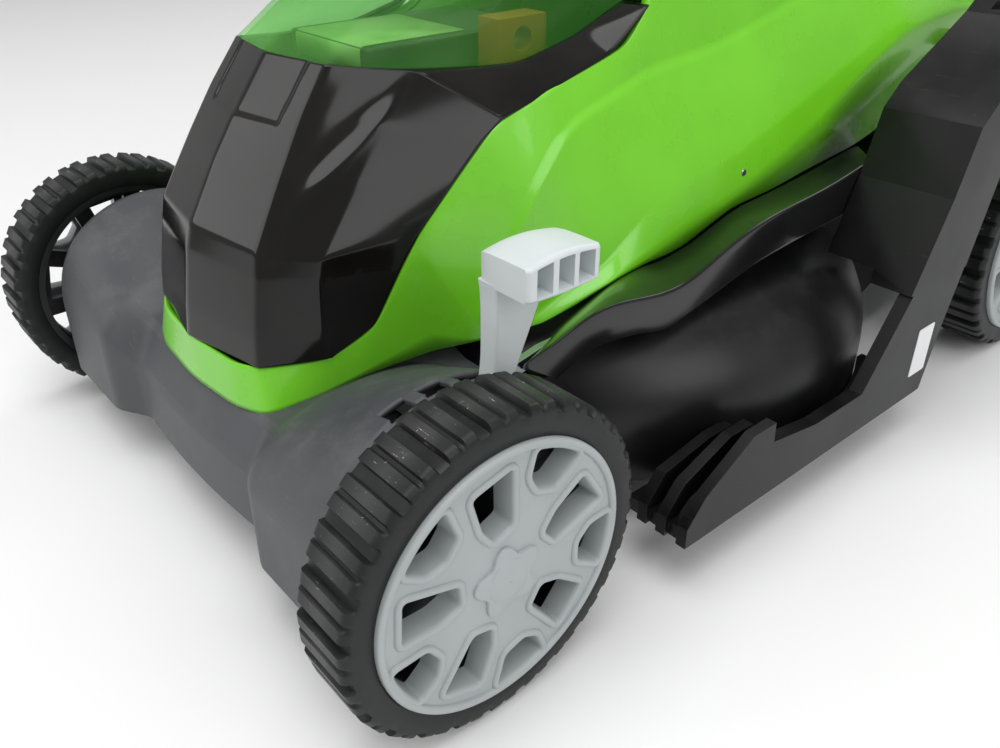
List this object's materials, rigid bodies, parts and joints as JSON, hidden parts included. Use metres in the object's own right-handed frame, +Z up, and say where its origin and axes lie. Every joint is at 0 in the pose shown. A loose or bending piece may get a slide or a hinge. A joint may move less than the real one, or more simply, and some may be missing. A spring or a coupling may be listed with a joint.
{
  "type": "push lawn mower",
  "caption": "Cordless push lawn mower with a polymer deck, cranked axles set by a lever, a folding handle, a battery bay under a clear lid and a rear catcher.",
  "frame": {"origin": "ground level under the middle of the whole machine's footprint, handle unfolded", "axes": "+Z up, +Y to the rear towards the operator, +X to the operator's right-hand side when facing rearwards (the machine's left)"},
  "size_m": [0.412, 1.2652, 0.9842],
  "materials": {
    "deck_plastic": "fine-textured polypropylene, satin",
    "housing_plastic": "satin black moulded plastic",
    "frame_plastic": "gloss black moulded plastic",
    "cover_green": "gloss bright green moulded plastic",
    "nose_black": "high-gloss black plastic",
    "lid_clear": "clear green-tinted plastic",
    "inner_black": "matte black moulded plastic",
    "knob_white": "pale grey moulded plastic",
    "tyre_black": "hard rubber-like plastic tread with scuffs",
    "wheel_black": "black moulded rim",
    "hubcap_grey": "light grey moulded cap",
    "steel_zinc": "zinc-plated steel",
    "blade_steel": "black painted steel with ground edges",
    "motor_grey": "cast aluminium",
    "pack_grey": "dark grey battery case",
    "board_green": "printed circuit board",
    "contact_brass": "brass terminals",
    "key_orange": "orange-brown safety key",
    "catcher_black": "black textured plastic",
    "tube_black": "black powder-coated steel tube",
    "foam_black": "closed-cell foam grip",
    "bail_steel": "bright plated steel wire"
  },
  "bodies": {
    "chassis": {"deck": "housing_plastic", "front_apron": "deck_plastic", "side_frame_l": "frame_plastic", "side_frame_r": "frame_plastic", "side_rail_l": "frame_plastic", "side_rail_r": "frame_plastic", "top_cover": "cover_green", "nose_cover": "nose_black", "battery_tray": "inner_black", "battery_contacts": "contact_brass", "control_board": "board_green", "motor_housing": "motor_grey", "screws": "steel_zinc", "axle_clips": "inner_black", "flap_rod": "steel_zinc", "pivot_bolts": "steel_zinc", "cable_gland": "inner_black"},
    "front_crank": {"front_axle_rod": "steel_zinc", "height_lever": "knob_white", "height_knob": "knob_white", "front_axle_nuts": "steel_zinc"},
    "rear_crank": {"rear_axle_rod": "steel_zinc", "rear_axle_nuts": "steel_zinc"},
    "link": {"link_rod": "steel_zinc"},
    "wheel_fl": {"tyre_fl": "tyre_black", "wheel_hub_fl": "wheel_black", "hubcap_fl": "hubcap_grey"},
    "wheel_fr": {"tyre_fr": "tyre_black", "wheel_hub_fr": "wheel_black", "hubcap_fr": "hubcap_grey"},
    "wheel_rl": {"tyre_rl": "tyre_black", "wheel_hub_rl": "wheel_black", "hubcap_rl": "hubcap_grey"},
    "wheel_rr": {"tyre_rr": "tyre_black", "wheel_hub_rr": "wheel_black", "hubcap_rr": "hubcap_grey"},
    "blade": {"motor_shaft": "steel_zinc", "fan_adapter": "inner_black", "cutting_blade": "blade_steel", "blade_bolt": "steel_zinc"},
    "lid": {"battery_lid": "lid_clear"},
    "battery": {"battery_pack": "pack_grey"},
    "release": {"battery_button": "inner_black"},
    "key": {"safety_key": "key_orange"},
    "flap": {"rear_flap": "inner_black"},
    "catcher": {"catcher_bin": "catcher_black", "catcher_top": "catcher_black"},
    "gauge": {"fill_gauge": "cover_green"},
    "lower_handle": {"lower_tube_l": "tube_black", "lower_tube_r": "tube_black", "clamp_bolts": "steel_zinc"},
    "upper_handle": {"upper_handle": "tube_black", "handle_grip": "foam_black", "switch_box": "inner_black"},
    "bail": {"bail_lever": "bail_steel"},
    "button": {"start_button": "cover_green"},
    "knob_lower_l": {"pivot_knob_l": "inner_black"},
    "knob_lower_r": {"pivot_knob_r": "inner_black"},
    "knob_upper_l": {"clamp_knob_l": "inner_black"},
    "knob_upper_r": {"clamp_knob_r": "inner_black"}
  },
  "joints": [
    {"name": "height_set", "type": "hinge", "parent": "chassis", "child": "front_crank", "pos_m": [0, -0.51926, 0.068], "axis": [1, 0, 0], "range_deg": [-12, 36]},
    {"name": "rear_crank_turn", "type": "hinge", "parent": "chassis", "child": "rear_crank", "pos_m": [0, -0.01426, 0.081], "axis": [1, 0, 0], "range_deg": [-12, 36]},
    {"name": "link_turn", "type": "hinge", "parent": "front_crank", "child": "link", "pos_m": [0.134, -0.51926, 0.113], "axis": [1, 0, 0], "range_deg": [-36, 12]},
    {"name": "wheel_fl_spin", "type": "hinge", "parent": "front_crank", "child": "wheel_fl", "pos_m": [-0.184, -0.55626, 0.076], "axis": [1, 0, 0], "continuous": true},
    {"name": "wheel_fr_spin", "type": "hinge", "parent": "front_crank", "child": "wheel_fr", "pos_m": [0.184, -0.55626, 0.076], "axis": [1, 0, 0], "continuous": true},
    {"name": "wheel_rl_spin", "type": "hinge", "parent": "rear_crank", "child": "wheel_rl", "pos_m": [-0.175, -0.05126, 0.089], "axis": [1, 0, 0], "continuous": true},
    {"name": "wheel_rr_spin", "type": "hinge", "parent": "rear_crank", "child": "wheel_rr", "pos_m": [0.175, -0.05126, 0.089], "axis": [1, 0, 0], "continuous": true},
    {"name": "blade_spin", "type": "hinge", "parent": "chassis", "child": "blade", "pos_m": [0, -0.31626, 0.045], "axis": [0, 0, 1], "continuous": true},
    {"name": "lid_hinge", "type": "hinge", "parent": "chassis", "child": "lid", "pos_m": [0, -0.36826, 0.284], "axis": [-1, 0, 0], "range_deg": [0, 70]},
    {"name": "battery_eject", "type": "slide", "parent": "chassis", "child": "battery", "axis": [0, 0, 1], "range_m": [0, 0.004]},
    {"name": "release_press", "type": "slide", "parent": "chassis", "child": "release", "axis": [0, 0, -1], "range_m": [0, 0.003], "stiffness_N_per_m": 400, "springref_m": -0.003},
    {"name": "key_pull", "type": "slide", "parent": "chassis", "child": "key", "axis": [0, 0, 1], "range_m": [0, 0.012]},
    {"name": "flap_hinge", "type": "hinge", "parent": "chassis", "child": "flap", "pos_m": [0, -0.04926, 0.249], "axis": [1, 0, 0], "range_deg": [0, 40], "stiffness_Nm_per_rad": 0.15, "springref_deg": -34.38},
    {"name": "catcher_slide", "type": "slide", "parent": "chassis", "child": "catcher", "axis": [0, 1, 0], "range_m": [0, 0.4]},
    {"name": "gauge_hinge", "type": "hinge", "parent": "catcher", "child": "gauge", "pos_m": [0, 0.11074, 0.31575], "axis": [1, 0, 0], "range_deg": [0, 35]},
    {"name": "handle_fold", "type": "hinge", "parent": "chassis", "child": "lower_handle", "pos_m": [0, -0.09626, 0.255], "axis": [1, 0, 0], "range_deg": [0, 130]},
    {"name": "handle_fold_upper", "type": "hinge", "parent": "lower_handle", "child": "upper_handle", "pos_m": [0, 0.22194, 0.5732], "axis": [1, 0, 0], "range_deg": [-170.5, 0]},
    {"name": "bail_pull", "type": "hinge", "parent": "upper_handle", "child": "bail", "pos_m": [0, 0.53448, 0.88574], "axis": [-1, 0, 0], "range_deg": [0, 22], "stiffness_Nm_per_rad": 0.8, "springref_deg": -51.57},
    {"name": "start_press", "type": "slide", "parent": "upper_handle", "child": "button", "axis": [0, 0.7071, -0.7071], "range_m": [0, 0.004], "stiffness_N_per_m": 300, "springref_m": -0.003},
    {"name": "knob_lower_l_turn", "type": "hinge", "parent": "chassis", "child": "knob_lower_l", "pos_m": [-0.195, -0.09626, 0.255], "axis": [1, 0, 0], "continuous": true},
    {"name": "knob_upper_l_turn", "type": "hinge", "parent": "lower_handle", "child": "knob_upper_l", "pos_m": [-0.195, 0.22194, 0.5732], "axis": [1, 0, 0], "continuous": true},
    {"name": "knob_lower_r_turn", "type": "hinge", "parent": "chassis", "child": "knob_lower_r", "pos_m": [0.195, -0.09626, 0.255], "axis": [1, 0, 0], "continuous": true},
    {"name": "knob_upper_r_turn", "type": "hinge", "parent": "lower_handle", "child": "knob_upper_r", "pos_m": [0.195, 0.22194, 0.5732], "axis": [1, 0, 0], "continuous": true}
  ],
  "couplings": [
    {"joint": "rear_crank_turn", "follows": "height_set", "ratio": 1},
    {"joint": "link_turn", "follows": "height_set", "ratio": -1},
    {"joint": "handle_fold_upper", "follows": "handle_fold", "ratio": -1.3077}
  ]
}
